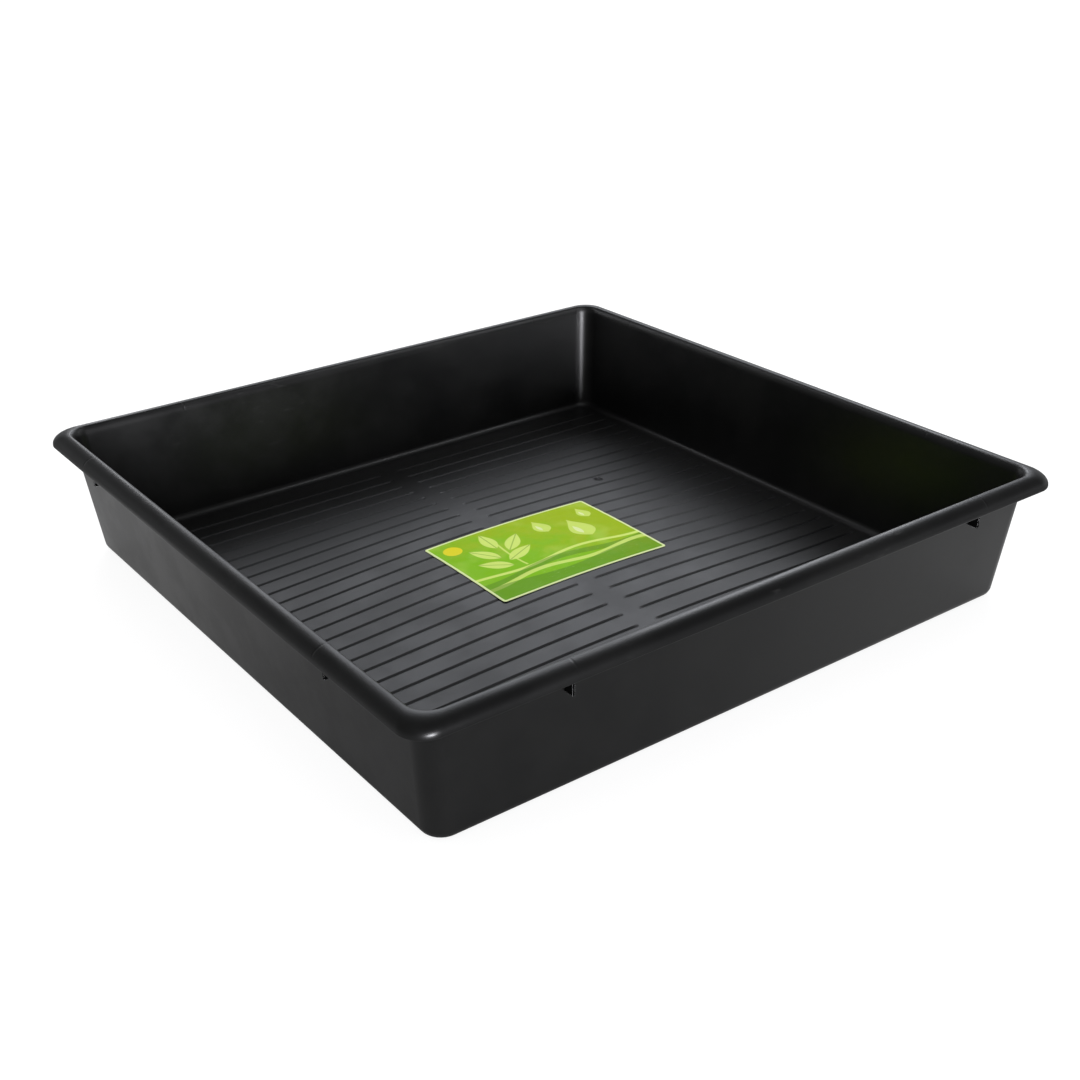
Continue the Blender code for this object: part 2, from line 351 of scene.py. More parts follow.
# Turns a section, a chain of insets and heights, into a shell round a rounded rectangle
def sweepTree():
    tree, source, result = newGeometryTree("sweptTray", sockets(
        "Float", "Half Length", "Half Width", "Corner Radius", "Rim Corner Radius", "Least Corner",
        "Wall Lean", "Wall Top", "Wall Foot", "Wall Top Inset")
        + sockets("Int", "Corner Steps", "Side Steps"))
    op = partial(calc, tree)
    chain = source["Geometry"]
    size = addNode(tree, "GeometryNodeAttributeDomainSize", {"Geometry": chain}, component="MESH")
    rows = size.outputs["Point Count"]
    steps = op("ADD", source["Corner Steps"], source["Side Steps"])
    sheet, column, row = newSheet(tree, op("MULTIPLY_ADD", steps, 4.0, 1.0), rows)
    spot = addNode(tree, "GeometryNodeInputPosition").outputs[0]
    read = addNode(tree, "GeometryNodeSampleIndex", {"Geometry": chain, "Value": spot, "Index": row},
                   data_type="FLOAT_VECTOR")
    point = splitXYZ(tree, read.outputs[0])
    inset, z = point["X"], point["Y"]

    # Corner radius at this height: even with the wall's own corner inside it, growing steadily outside
    wallZ = op("MAXIMUM", op("MINIMUM", z, source["Wall Top"]), source["Wall Foot"])
    faceInset = op("MULTIPLY_ADD", op("SUBTRACT", source["Wall Top"], wallZ), source["Wall Lean"],
                   source["Wall Top Inset"])
    outside = op("SUBTRACT", faceInset, inset)
    growth = op("DIVIDE", op("SUBTRACT", source["Rim Corner Radius"], source["Corner Radius"]),
                source["Wall Top Inset"])
    change = op("MULTIPLY_ADD", op("MAXIMUM", outside, 0.0), growth, op("MINIMUM", outside, 0.0))
    radius = op("MAXIMUM", op("ADD", source["Corner Radius"], change), source["Least Corner"])
    reach = op("ADD", inset, radius)
    centreX = op("SUBTRACT", source["Half Length"], reach)
    centreY = op("SUBTRACT", source["Half Width"], reach)

    # Way round: each quarter is a corner arc and then a straight side
    quarter, local = divided(tree, column, steps)
    turned = op("MINIMUM", op("DIVIDE", local, source["Corner Steps"]), 1.0)
    along = op("DIVIDE", op("MAXIMUM", op("SUBTRACT", local, source["Corner Steps"]), 0.0),
               source["Side Steps"])
    angle = op("MULTIPLY", op("SUBTRACT", op("ADD", quarter, turned), 1.0), quarterTurn)

    def cornerSide(shift, wave):
        return op("SIGN", op(wave, op("MULTIPLY", op("ADD", quarter, shift), quarterTurn)))

    def centre(wave, size):
        here, following = cornerSide(-0.5, wave), cornerSide(0.5, wave)
        return op("MULTIPLY", size, op("MULTIPLY_ADD", op("SUBTRACT", following, here), along, here))

    x = op("MULTIPLY_ADD", radius, op("COSINE", angle), centre("COSINE", centreX))
    y = op("MULTIPLY_ADD", radius, op("SINE", angle), centre("SINE", centreY))
    endTree(tree, merged(tree, bendSheet(tree, sheet, X=x, Y=y, Z=z)), source, result)
    return tree


# Domed sheet with rows of straight round-ended grooves, its lines crowded where the grooves are
def floorTree():
    tree, source, result = newGeometryTree("groovedFloor", sockets(
        "Float", "Half Length", "Half Width", "Dome Half Length", "Dome Half Width", "Dome Height",
        "Floor Height", "Groove Pitch", "Groove Width", "Groove Depth", "Middle Gap", "Gap Line",
        "Gap Centre", "End Margin", "Crowding")
        + sockets("Int", "Groove Count", "Lines Per Groove", "Steps Per Half"))
    op = partial(calc, tree)
    lines = op("MULTIPLY", source["Groove Count"], source["Lines Per Groove"])
    columns = op("MULTIPLY_ADD", source["Steps Per Half"], 2.0, 2.0)
    sheet, column, row = newSheet(tree, columns, op("ADD", lines, 3.0))

    # Along the grooves: both halves start near the middle gap, their steps small at both ends
    rightHalf = op("GREATER_THAN", column, op("ADD", source["Steps Per Half"], 0.5))
    side = op("MULTIPLY_ADD", rightHalf, 2.0, -1.0)
    fromMiddle = op("ABSOLUTE", op("SUBTRACT", column, op("ADD", source["Steps Per Half"], 0.5)))
    share = op("DIVIDE", op("SUBTRACT", fromMiddle, 0.5), source["Steps Per Half"])
    eased = op("MULTIPLY_ADD", op("COSINE", op("MULTIPLY", share, math.pi)), -0.5, 0.5)
    gapSide = op("MULTIPLY_ADD", side, source["Gap Centre"], op("MULTIPLY", source["Middle Gap"], 0.5))
    gapEdge = op("SUBTRACT", gapSide, source["Gap Line"])
    run = op("SUBTRACT", source["Half Length"], gapEdge)
    absX = op("MULTIPLY_ADD", run, eased, gapEdge)
    x = op("MULTIPLY", side, absX)

    # Across the grooves: each groove's lines crowd towards its middle
    cell, local = divided(tree, op("SUBTRACT", row, 1.0), source["Lines Per Groove"])
    swing = op("MULTIPLY_ADD", op("DIVIDE", local, source["Lines Per Groove"]), 2.0, -1.0)
    crowded = op("MULTIPLY", op("SIGN", swing), op("POWER", op("ABSOLUTE", swing), source["Crowding"]))
    cellMiddle = op("ADD", op("SUBTRACT", cell, op("MULTIPLY", source["Groove Count"], 0.5)), 0.5)
    offset = op("MULTIPLY", op("MULTIPLY", crowded, 0.5), source["Groove Pitch"])
    innerY = op("MULTIPLY_ADD", cellMiddle, source["Groove Pitch"], offset)
    atStart = op("LESS_THAN", row, 0.5)
    atEnd = op("GREATER_THAN", row, op("ADD", lines, 1.5))
    within = op("SUBTRACT", 1.0, op("ADD", atStart, atEnd))
    edgeY = op("MULTIPLY", op("SUBTRACT", atEnd, atStart), source["Half Width"])
    y = op("MULTIPLY_ADD", innerY, within, edgeY)

    # Height: the dome, less the groove where the point lies near a groove's line
    def bell(value, half):
        part = op("MINIMUM", op("DIVIDE", value, half), 1.0)
        fall = op("SUBTRACT", 1.0, op("MULTIPLY", part, part))
        return op("MULTIPLY", fall, fall)

    rise = op("MULTIPLY", bell(absX, source["Dome Half Length"]),
              bell(op("ABSOLUTE", y), source["Dome Half Width"]))
    halfGroove = op("MULTIPLY", source["Groove Width"], 0.5)
    firstX = op("ADD", gapSide, halfGroove)
    lastX = op("SUBTRACT", op("SUBTRACT", source["Half Length"], source["End Margin"]), halfGroove)
    past = op("MAXIMUM", op("SUBTRACT", firstX, absX), op("SUBTRACT", absX, lastX))
    past = op("MAXIMUM", past, 0.0)
    away = op("SQRT", op("ADD", op("MULTIPLY", past, past), op("MULTIPLY", offset, offset)))
    nearness = op("MAXIMUM", op("SUBTRACT", 1.0, op("DIVIDE", away, halfGroove)), 0.0)
    sink = op("MULTIPLY", op("MULTIPLY", nearness, within), source["Groove Depth"])
    z = op("MULTIPLY_ADD", rise, source["Dome Height"], source["Floor Height"])
    z = op("SUBTRACT", z, sink)
    endTree(tree, bendSheet(tree, sheet, X=x, Y=y, Z=z), source, result)
    return tree


# Vertices of a mesh's open edges, in their order round the tray
def openEdges(vertices):
    def wayRound(v):
        return math.atan2(v.co.y / halfWidth, v.co.x / halfLength) % math.tau

    return sorted({v for v in vertices if any(e.is_boundary for e in v.link_edges)}, key=wayRound)


# Band of triangles between two loops, each step taking the shorter diagonal
def stitch(bm, first, second):
    i = k = 0
    while i < len(first) or k < len(second):
        here, there = first[i % len(first)], second[k % len(second)]
        nextHere, nextThere = first[(i + 1) % len(first)], second[(k + 1) % len(second)]
        shorter = (nextHere.co - there.co).length <= (nextThere.co - here.co).length
        if k >= len(second) or (i < len(first) and shorter):
            bm.faces.new((here, nextHere, there))
            i += 1
        else:
            bm.faces.new((here, nextThere, there))
            k += 1


def buildTray(plastic):
    sweep = sweepTree()
    field = floorTree()
    shell = runTree(chainMesh("traySection", traySection()), sweep, {
        "Half Length": halfLength, "Half Width": halfWidth, "Corner Radius": trayForm["corner"],
        "Rim Corner Radius": trayForm["rimCorner"], "Least Corner": trayForm["leastCorner"],
        "Wall Lean": lean, "Wall Top": wallTop, "Wall Foot": footTouch, "Wall Top Inset": wallTopInset,
        "Corner Steps": trayForm["cornerSteps"], "Side Steps": trayForm["sideSteps"], "Material": plastic})
    common = {
        "Dome Half Length": sheetX, "Dome Half Width": sheetY, "Dome Height": floorForm["dome"],
        "Groove Count": floorForm["grooves"], "Groove Pitch": floorForm["pitch"],
        "Groove Width": floorForm["grooveWidth"], "Middle Gap": floorForm["middleGap"],
        "Gap Line": floorForm["gapLine"], "Gap Centre": floorForm["gapCentre"],
        "End Margin": floorForm["endMargin"], "Material": plastic}
    upper = runTree(bpy.data.meshes.new("upperStart"), field, {
        **common, "Half Length": sheetX, "Half Width": sheetY, "Floor Height": floorTop,
        "Groove Depth": floorForm["grooveDepth"], "Lines Per Groove": floorForm["linesPerGroove"],
        "Steps Per Half": floorForm["stepsPerHalf"], "Crowding": floorForm["crowding"]})
    stepInset = footInset + trayForm["footWidth"] + trayForm["footStep"] + floorForm["margin"]
    under = runTree(bpy.data.meshes.new("underStart"), field, {
        **common, "Half Length": halfLength - stepInset, "Half Width": halfWidth - stepInset,
        "Floor Height": trayForm["floorRaise"], "Groove Depth": 0.0,
        "Groove Pitch": floorForm["pitch"] * floorForm["underPitchShare"],
        "Lines Per Groove": floorForm["underLines"], "Steps Per Half": floorForm["underSteps"],
        "Crowding": 1.0})

    # The three sheets, joined at their open edges into one closed moulding
    bm = bmesh.new()
    loops = []
    for mesh in (shell, upper, under):
        before = len(bm.verts)
        bm.from_mesh(mesh)
        bm.verts.ensure_lookup_table()
        loops.append(openEdges(bm.verts[before:]))
    middle = (trayForm["floorRaise"] + floorTop) / 2
    stitch(bm, loops[1], [v for v in loops[0] if v.co.z > middle])
    stitch(bm, loops[2], [v for v in loops[0] if v.co.z < middle])
    bmesh.ops.recalc_face_normals(bm, faces=bm.faces)
    made = bpy.data.meshes.new("trayBody")
    bm.to_mesh(made)
    bm.free()
    made.materials.clear()
    made.materials.append(plastic)
    tray = newPiece("trayBody", made, trayForm["sharpAngle"])
    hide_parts("tray")
    print("tray body:", len(made.polygons), "faces")


# Stacking ribs: small upright plates under the rim, two to a side

ribForm = {
    "fromNearSide": 0.143,
    "fromFarSide": 0.101,
    "thickness": 0.002,
    "reach": 0.010,
    "bottom": 0.098,
    "edge": 0.00004,
    "edgeSteps": 2,
    "edgeAngle": 0.6,  # edges that turn by more than this are eased
}


def ribSection():
    sunk = wall / 2
    reachInset = wallInset(ribForm["bottom"]) - ribForm["reach"]
    arch = [point for point in rimPoints(sunk) if point[0] > reachInset]
    inner = wallInset(ribForm["bottom"]) + sunk / math.cos(draft)
    share = (trayForm["rimReach"] - reachInset) / (trayForm["rimReach"] - sunk)
    drop = trayForm["rimDrop"]
    top = height - drop + (drop - sunk) * math.sqrt(1 - share ** 2)
    return [(inner, ribForm["bottom"])] + arch + [(reachInset, top), (reachInset, ribForm["bottom"])]


# Puts a plate at every point of the start mesh, turned to its wall
def ribTree():
    tree, source, result = newGeometryTree(
        "stackingRibs", sockets("Object", "Rib Section") + sockets("Float", "Rib Thickness"))
    section = addNode(tree, "GeometryNodeObjectInfo", {"Object": source["Rib Section"]})
    lift = joinXYZ(tree, Z=source["Rib Thickness"])
    back = addNode(tree, "ShaderNodeVectorMath", {0: lift, "Scale": -0.5}, operation="SCALE").outputs[0]
    centred = addNode(tree, "GeometryNodeTransform", {
        "Geometry": section.outputs["Geometry"], "Translation": back})
    plate = addNode(tree, "GeometryNodeExtrudeMesh", {
        "Mesh": centred.outputs[0], "Offset": lift, "Individual": False})
    bottom = addNode(tree, "GeometryNodeFlipFaces", {"Mesh": centred.outputs[0]})
    both = addNode(tree, "GeometryNodeJoinGeometry")
    tree.links.new(plate.outputs["Mesh"], both.inputs[0])
    tree.links.new(bottom.outputs[0], both.inputs[0])
    upright = addNode(tree, "GeometryNodeTransform", {
        "Geometry": merged(tree, both.outputs[0]), "Rotation": (quarterTurn, 0.0, 0.0)})
    turn = addNode(tree, "GeometryNodeInputNamedAttribute", {"Name": "turn"}, data_type="FLOAT")
    spin = joinXYZ(tree, Z=turn.outputs[0])
    placed = addNode(tree, "GeometryNodeInstanceOnPoints", {
        "Points": source["Geometry"], "Instance": upright.outputs[0], "Rotation": spin})
    endTree(tree, placed.outputs[0], source, result)
    return tree


def buildRibs(plastic):
    outline = ribSection()
    sectionMesh = bpy.data.meshes.new("ribSection")
    sectionMesh.from_pydata([(-inset, z, 0.0) for inset, z in outline], [], [range(len(outline))])
    section = newObject("ribSection", sectionMesh)

    spots = []
    turns = []
    for side in range(4):
        turn = side * quarterTurn
        alongY = side % 2 == 0
        halfAcross, halfAlong = (halfLength, halfWidth) if alongY else (halfWidth, halfLength)
        for along in (ribForm["fromNearSide"] - halfAlong, halfAlong - ribForm["fromFarSide"]):
            out = Vector((math.cos(turn), math.sin(turn), 0)) * halfAcross
            sideways = Vector((0, along, 0)) if alongY else Vector((along, 0, 0))
            spots.append(out + sideways)
            turns.append(turn)
    points = bpy.data.meshes.new("ribSpots")
    points.from_pydata(spots, [], [])
    points.attributes.new("turn", "FLOAT", "POINT").data.foreach_set("value", turns)
    made = runTree(points, ribTree(), {
        "Rib Section": section, "Rib Thickness": ribForm["thickness"], "Material": plastic})
    bpy.data.objects.remove(section)

    bm = bmesh.new()
    bm.from_mesh(made)
    bmesh.ops.recalc_face_normals(bm, faces=bm.faces)
    corners = [e for e in bm.edges if e.calc_face_angle(0.0) > ribForm["edgeAngle"]]
    bmesh.ops.bevel(bm, geom=corners, offset=ribForm["edge"], segments=ribForm["edgeSteps"],
                    affect="EDGES", profile=0.5)
    bm.to_mesh(made)
    bm.free()
    newPiece("stackingRibs", made)
    print("stacking ribs:", len(made.polygons), "faces")


# Label: a thin printed sheet that follows the dome and dips a little over each groove

labelForm = {
    "corner": 0.003,
    "thickness": 0.0004,
    "clearance": 0.0003,
    "dip": 0.00012,
    "lift": 0.0005,  # at the corner nearest the tray's front
    "liftReach": 0.05,
    "columns": 60,
    "straightRows": 70,
    "cornerRows": 5,
}

labelMiddle = (labelLow + labelHigh) / 2
labelHalfX = (labelHigh.x - labelLow.x) / 2
labelHalfY = (labelHigh.y - labelLow.y) / 2


def domeRise(x, y):
    partX = min(1.0, abs(x) / sheetX)
    partY = min(1.0, abs(y) / sheetY)
    return floorForm["dome"] * (1 - partX ** 2) ** 2 * (1 - partY ** 2) ** 2


# Height of each row of the sheet over its middle, with the row's half length
def labelRows():
    corner = labelForm["corner"]
    steps = labelForm["cornerRows"]
    inner = labelHalfY - corner
    rounded = []
    for i in range(steps):
        angle = quarterTurn * (steps - i) / steps
        rounded.append((inner + corner * math.sin(angle), labelHalfX - corner * (1 - math.cos(angle))))
    count = labelForm["straightRows"]
    straight = [(inner * (1 - 2 * i / count), labelHalfX) for i in range(count + 1)]
    return rounded + straight + [(-y, half) for y, half in reversed(rounded)]


# How far the film sinks where it bridges a groove
def grooveDip(y):
    away = abs((y / floorForm["pitch"]) % 1.0 - 0.5) * floorForm["pitch"]
    share = max(0.0, 1 - away / floorForm["grooveWidth"])
    return labelForm["dip"] * share * share * (3 - 2 * share)


def labelSpot(u, v):
    x = labelMiddle.x + u
    y = labelMiddle.y + v
    fromCorner = max(0.0, 1 - math.hypot(u + labelHalfX, v + labelHalfY) / labelForm["liftReach"])
    z = floorTop + domeRise(x, y) + labelForm["clearance"] + labelForm["lift"] * fromCorner ** 2
    return Vector((x, y, z - grooveDip(y)))


def buildLabel(film):
    columns = labelForm["columns"]
    bm = bmesh.new()
    rounds = []
    for lift in (0.0, labelForm["thickness"]):
        sheet = []
        for v, half in labelRows():
            row = [labelSpot(half * (2 * i / columns - 1), v) for i in range(columns + 1)]
            sheet.append([bm.verts.new(point + Vector((0, 0, lift))) for point in row])
        for upper, lower in zip(sheet, sheet[1:]):
            for i in range(columns):
                bm.faces.new((upper[i], lower[i], lower[i + 1], upper[i + 1]))
        rounds.append(sheet[0] + [row[-1] for row in sheet[1:-1]] + sheet[-1][::-1]
                      + [row[0] for row in sheet[-2:0:-1]])
    under, over = rounds
    for i in range(len(under)):
        bm.faces.new((under[i], over[i], over[i - 1], under[i - 1]))
    bmesh.ops.recalc_face_normals(bm, faces=bm.faces)
    made = bpy.data.meshes.new("printedLabel")
    bm.to_mesh(made)
    bm.free()
    made.materials.append(film)
    label = newPiece("printedLabel", made)
    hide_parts("label")
    print("printed label:", len(made.polygons), "faces")


# Finishes: shared effects first, then the plastic and the print

def noise(tree, vector, scale, detail=2.0, roughness=0.5):
    inputs = {"Vector": vector, "Scale": scale, "Detail": detail, "Roughness": roughness}
    return addNode(tree, "ShaderNodeTexNoise", inputs).outputs["Fac"]


grainForm = {
    "coarser": 0.22,  # scale of the coarse grain, as a share of the fine one's
    "coarseShare": 0.4,
    "mottleRange": (0.3, 0.7),
}


# Moulded grain: a fine height and a soft large-scale mottle
def fineGrainGroup():
    tree, source, result = newShaderGroup(
        "fineGrain", sockets("Float", "Grain Scale", "Mottle Scale"), "Height", "Mottle")
    op = partial(calc, tree)
    fine = noise(tree, source["Vector"], source["Grain Scale"], 3.0, 0.6)
    coarse = noise(tree, source["Vector"], op("MULTIPLY", source["Grain Scale"], grainForm["coarser"]))
    relief = op("ADD", op("MULTIPLY", fine, 1 - grainForm["coarseShare"]),
                op("MULTIPLY", coarse, grainForm["coarseShare"]))
    patches = noise(tree, source["Vector"], source["Mottle Scale"], 4.0, 0.6)
    plug(tree, result, {"Height": relief, "Mottle": smooth(tree, patches, *grainForm["mottleRange"])})
    return tree


wearForm = {
    "stretch": (1.0, 7.0, 3.0),
    "streakRange": (0.60, 0.74),
    "patchScale": 7.0,
    "patchRange": (0.45, 0.65),
}


# Light scuffs: thin streaks in patches, as from stacking and wiping
def handlingWearGroup():
    tree, source, result = newShaderGroup(
        "handlingWear", sockets("Float", "Streak Scale", "Streak Turn", "Amount"), "Mask")
    op = partial(calc, tree)
    spin = joinXYZ(tree, Z=source["Streak Turn"])
    turned = addNode(tree, "ShaderNodeMapping", {
        "Vector": source["Vector"], "Rotation": spin, "Scale": wearForm["stretch"]}).outputs[0]
    streaks = smooth(tree, noise(tree, turned, source["Streak Scale"], 3.0, 0.65), *wearForm["streakRange"])
    patches = smooth(tree, noise(tree, source["Vector"], wearForm["patchScale"]), *wearForm["patchRange"])
    mask = op("MULTIPLY", op("MULTIPLY", streaks, patches), source["Amount"], clamp=True)
    plug(tree, result, {"Mask": mask})
    return tree


def newMaterial(name, viewColour):
    material = bpy.data.materials.new(name)
    material.use_nodes = True
    material.diffuse_color = viewColour
    tree = material.node_tree
    tree.nodes.clear()
    shader = tree.nodes.new("ShaderNodeBsdfPrincipled")
    addNode(tree, "ShaderNodeOutputMaterial", {"Surface": shader.outputs[0]})
    spot = tree.nodes.new("ShaderNodeTexCoord").outputs["Object"]
    return material, tree, shader, spot


# Object coordinates counted from a middle, laid flat
def centredOn(tree, spot, x, y):
    inputs = {"Vector": spot, "Location": (-x, -y, 0.0), "Scale": (1, 1, 0)}
    return addNode(tree, "ShaderNodeMapping", inputs).outputs[0]


# The Mix node's sockets share names between kinds: the colours are inputs 6 and 7 and output 2
def blend(tree, factor, first, second):
    return addNode(tree, "ShaderNodeMix", {0: factor, 6: first, 7: second}, data_type="RGBA").outputs[2]


# Grain and scuffs for a material
def placeEffects(tree, grain, wear, spot, form):
    surface = placeGroup(tree, grain, {
        "Vector": spot, "Grain Scale": form["grainScale"], "Mottle Scale": form["mottleScale"]})
    scuffs = placeGroup(tree, wear, {
        "Vector": spot, "Streak Scale": form["streakScale"], "Streak Turn": form["streakTurn"],
        "Amount": form["scuffAmount"]})
    return surface, scuffs["Mask"]


def raised(tree, relief, strength, distance, under=None):
    inputs = {"Height": relief, "Strength": strength, "Distance": distance}
    if under is not None:
        inputs["Normal"] = under
    return addNode(tree, "ShaderNodeBump", inputs).outputs["Normal"]


def pressedIn(tree, mask, distance, under):
    return raised(tree, calc(tree, "SUBTRACT", 1.0, mask), 1.0, distance, under)


plasticFinish = {
    "black": (0.0014, 0.0015, 0.0016, 1.0),
    "mottled": (0.0026, 0.0027, 0.0026, 1.0),
    "scuff": (0.028, 0.028, 0.027, 1.0),
    "dust": (0.030, 0.030, 0.028, 1.0),
    "shine": 0.5,
    "smoothest": 0.31,
    "roughest": 0.37,
    "sheetRougher": 0.12,  # added on the floor, which is finely textured
    "sheetZone": (0.019, 0.026),
    "sheetFacing": (0.5, 0.9),
    "rimRougher": 0.05,
    "rimZone": (0.012, 0.001),  # depths below the crest between which it grows
    "ribsRougher": 0.45,  # painted shade: the ribs get a copy of the plastic, rougher and nearly without shine, so that they render dark like the shade under the rim
    "ribsShadedShine": 0.02,
    "wornRougher": 0.25,
    "mottleScale": 16.0,
    "grainScale": 1100.0,
    "grainStrength": 0.35,
    "grainDepth": 0.00012,
    "swellScale": 7.0,
    "swellStrength": 0.5,
    "swellDepth": 0.0011,  # slow swell of the moulded walls
    "streakScale": 45.0,
    "streakTurn": 0.5,
    "scuffAmount": 0.55,
    "scuffElsewhere": 0.3,  # share of the scuffs away from the rim and the foot
    "footZone": (0.006, 0.0005),
    "dustScale": 260.0,
    "dustRange": (0.58, 0.78),
    "dustFacing": (0.5, 1.0),
    "dustAmount": 0.22,
    "gateMark": (0.179, 0.116),  # middle of the dimple where the plastic was fed into the mould
    "gateRadius": 0.0062,
    "gateDepth": 0.0024,
    "gateBelow": 0.03,  # height under which it shows
    "gateShade": (0.002, 0.002, 0.002, 1.0),
    "gateShadeShare": 0.6,
    "sinkWidth": 0.0018,  # of the faint sink lines across the rim, over the ribs
    "sinkDepth": 0.00016,
    "sinkZone": (0.009, 0.004),
}


def gateDimple(tree, spot, parts):
    form = plasticFinish
    centred = centredOn(tree, spot, *form["gateMark"])
    away = vectorCalc(tree, "LENGTH", centred)["Value"]
    onFloor = calc(tree, "LESS_THAN", parts["Z"], form["gateBelow"])
    return calc(tree, "MULTIPLY", smooth(tree, away, 0.0, form["gateRadius"], 1.0, 0.0), onFloor)


def sinkLines(tree, parts):
    form = plasticFinish
    op = partial(calc, tree)

    def overRibs(along, across, half):
        gaps = [op("ABSOLUTE", op("SUBTRACT", along, place))
                for place in (ribForm["fromNearSide"] - half, half - ribForm["fromFarSide"])]
        line = smooth(tree, op("MINIMUM", *gaps), 0.0, form["sinkWidth"], 1.0, 0.0)
        return op("MULTIPLY", line, op("GREATER_THAN", op("ABSOLUTE", across), op("ABSOLUTE", along)))

    lines = op("ADD", overRibs(parts["X"], parts["Y"], halfLength),
               overRibs(parts["Y"], parts["X"], halfWidth))
    return op("MULTIPLY", lines, smooth(tree, parts["Z"], *[height - depth for depth in form["sinkZone"]]))


def plasticMaterial(name, grain, wear, shine, rougher=0.0):
    form = plasticFinish
    material, tree, shader, spot = newMaterial(name, form["mottled"])
    op = partial(calc, tree)
    parts = splitXYZ(tree, spot)
    facing = splitXYZ(tree, tree.nodes.new("ShaderNodeNewGeometry").outputs["Normal"])["Z"]
    surface, scuffs = placeEffects(tree, grain, wear, spot, form)
    rim = smooth(tree, parts["Z"], *[height - depth for depth in form["rimZone"]])
    foot = smooth(tree, parts["Z"], *form["footZone"])
    share = op("MULTIPLY_ADD", op("ADD", rim, foot), 1 - form["scuffElsewhere"], form["scuffElsewhere"])
    rubbed = op("MULTIPLY", scuffs, share, clamp=True)
    settled = smooth(tree, noise(tree, spot, form["dustScale"], 4.0, 0.7), *form["dustRange"])
    dust = op("MULTIPLY", op("MULTIPLY", settled, smooth(tree, facing, *form["dustFacing"])),
              form["dustAmount"])
    dimple = gateDimple(tree, spot, parts)

    colour = blend(tree, surface["Mottle"], form["black"], form["mottled"])
    colour = blend(tree, rubbed, colour, form["scuff"])
    colour = blend(tree, dust, colour, form["dust"])
    colour = blend(tree, op("MULTIPLY", dimple, form["gateShadeShare"]), colour, form["gateShade"])

    rough = smooth(tree, surface["Mottle"], 0.0, 1.0, form["smoothest"], form["roughest"])
    rough = op("ADD", rough, op("MULTIPLY", op("ADD", rubbed, dust), form["wornRougher"]))
    onSheet = op("MULTIPLY", smooth(tree, parts["Z"], *form["sheetZone"], 1.0, 0.0),
                 smooth(tree, facing, *form["sheetFacing"]))
    rough = op("MULTIPLY_ADD", onSheet, form["sheetRougher"], rough)
    rough = op("MULTIPLY_ADD", rim, form["rimRougher"], rough)
    rough = op("ADD", rough, rougher)

    swell = noise(tree, spot, form["swellScale"], 1.0, 0.4)
    normal = raised(tree, swell, form["swellStrength"], form["swellDepth"])
    normal = pressedIn(tree, sinkLines(tree, parts), form["sinkDepth"], normal)
    normal = pressedIn(tree, dimple, form["gateDepth"], normal)
    normal = raised(tree, surface["Height"], form["grainStrength"], form["grainDepth"], normal)
    plug(tree, shader, {"Base Color": colour, "Roughness": rough, "Specular IOR Level": shine,
                        "Normal": normal})
    return material


labelFinish = {
    "lime": (0.200, 0.460, 0.002, 1.0),
    "yellowGreen": (0.310, 0.440, 0.004, 1.0),
    "paleGreen": (0.62, 0.76, 0.17, 1.0),
    "border": (0.70, 0.78, 0.40, 1.0),
    "deepGreen": (0.080, 0.215, 0.007, 1.0),
    "yellow": (0.70, 0.62, 0.010, 1.0),
    "drift": (3.4, 4.2),  # how fast the ground turns yellower along and across the label
    "cloudScale": 38.0,
    "cloudRange": (0.25, 0.85),
    "glowScale": 24.0,
    "glowRange": (0.5, 0.75),
    "glowShare": 0.20,
    "borderWidth": 0.0026,
    "borderRound": 0.003,
    "borderSoft": (0.0005, 0.0002),
    "borderShare": 0.92,
    "shine": 0.03,
    "smoothest": 0.34,
    "roughest": 0.46,
    "wornRougher": 0.25,
    "grainScale": 1600.0,
    "dotShare": 0.08,
    "dotStrength": 0.2,
    "dotDepth": 0.00006,
    "mottleScale": 60.0,
    "rippleScale": 34.0,
    "rippleStrength": 0.4,
    "rippleDepth": 0.0006,
    "streakScale": 110.0,
    "streakTurn": 1.1,
    "scuffAmount": 0.6,
    "scuffShare": 0.35,
}

# The print, measured from the label's middle. Waves along the foot, from light to deep: the inputs of
# their group, share and tint
waveInputs = ("Level", "Swing", "Waves", "Shift", "Depth")
labelWaves = (
    (-0.0210, 0.0042, 46.0, 0.4, 0.0050, 0.90, "paleGreen"),
    (-0.0280, 0.0050, 41.0, 1.9, 0.0100, 0.55, "deepGreen"),
    (-0.0380, 0.0040, 52.0, 3.3, 0.0065, 0.80, "paleGreen"),
    (-0.0460, 0.0046, 37.0, 5.0, 0.0400, 0.60, "deepGreen"),
)

# Leaves of the sprig, then the drops: place, direction, half length and half width
petalInputs = ("Angle", "Length", "Width", "Taper")
labelLeaves = (
    (-0.0640, -0.0050, 2.50, 0.0185, 0.0075),
    (-0.0290, 0.0030, 0.42, 0.0200, 0.0080),
    (-0.0600, 0.0200, 2.10, 0.0185, 0.0075),
    (-0.0210, 0.0270, 0.80, 0.0200, 0.0080),
    (-0.0410, 0.0430, 1.50, 0.0190, 0.0078),
)
labelDrops = (
    (0.0220, 0.0400, 1.57, 0.0160, 0.0086),
    (0.0540, 0.0150, 1.57, 0.0230, 0.0125),
    (0.0800, 0.0440, 1.57, 0.0130, 0.0070),
)

